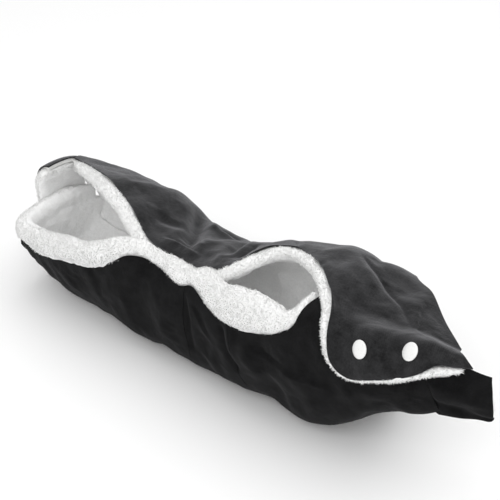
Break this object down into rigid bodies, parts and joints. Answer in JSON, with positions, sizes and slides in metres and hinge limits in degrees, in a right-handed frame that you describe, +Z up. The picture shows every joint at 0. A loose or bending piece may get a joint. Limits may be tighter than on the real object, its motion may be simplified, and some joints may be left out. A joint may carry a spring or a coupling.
{
  "type": "stroller hand muff",
  "caption": "Padded hand warmer wrap for a pram handlebar, black outside with white plush lining, two hand openings, a centre bridge and end flaps closed by press snaps.",
  "frame": {"origin": "on the flat underside, below the handlebar's axis and close to the middle of the muff's length", "axes": "+X along the handlebar to the user's right, +Y away from the user, +Z up; the hand openings face -Y and up"},
  "size_m": [0.5061, 0.1339, 0.1345],
  "materials": {
    "black_cloth": "fine plain weave, matt",
    "white_plush": "deep soft pile",
    "wadding": "loose fibre",
    "black_tape": "woven tape",
    "white_cap": "glossy enamel",
    "bright_metal": "bright nickel"
  },
  "bodies": {
    "wrap": {"front_left_shell": "black_cloth", "front_centre_shell": "black_cloth", "front_right_shell": "black_cloth", "front_wadding": "wadding", "front_lining": "white_plush", "upper_shell": "black_cloth", "upper_wadding": "wadding", "upper_lining": "white_plush", "left_wing_shell": "black_cloth", "left_wing_wadding": "wadding", "left_wing_lining": "white_plush", "left_cuff": "white_plush", "right_cuff": "white_plush", "centre_bridge": "white_plush", "hook_strip": "black_tape", "loop_strip": "black_tape", "left_arch_trim": "white_plush", "right_arch_trim": "white_plush", "back_seam_binding": "black_tape", "right_tab_shell": "black_cloth", "right_tab_wadding": "wadding", "right_tab_lining": "white_plush", "right_snap_1_stud": "bright_metal", "right_snap_1_back": "bright_metal", "right_snap_2_stud": "bright_metal", "right_snap_2_back": "bright_metal", "left_snap_1_stud": "bright_metal", "left_snap_1_back": "bright_metal", "left_snap_2_stud": "bright_metal", "left_snap_2_back": "bright_metal"},
    "right_flap": {"right_flap_shell": "black_cloth", "right_flap_wadding": "wadding", "right_flap_lining": "white_plush", "right_flap_trim": "white_plush", "right_snap_1_cap": "white_cap", "right_snap_1_socket": "bright_metal", "right_snap_2_cap": "white_cap", "right_snap_2_socket": "bright_metal"},
    "left_flap": {"left_flap_shell": "black_cloth", "left_flap_wadding": "wadding", "left_flap_lining": "white_plush", "left_snap_1_cap": "white_cap", "left_snap_1_socket": "bright_metal", "left_snap_2_cap": "white_cap", "left_snap_2_socket": "bright_metal"}
  },
  "joints": [
    {"name": "right_flap_fold", "type": "hinge", "parent": "wrap", "child": "right_flap", "pos_m": [0.17036, -0.02882, 0.12465], "axis": [-0.9728, -0.1733, 0.1538], "range_deg": [0, 110]},
    {"name": "left_flap_fold", "type": "hinge", "parent": "wrap", "child": "left_flap", "pos_m": [-0.2208, 0.008, 0.11169], "axis": [0, 1, 0], "range_deg": [0, 110]}
  ]
}
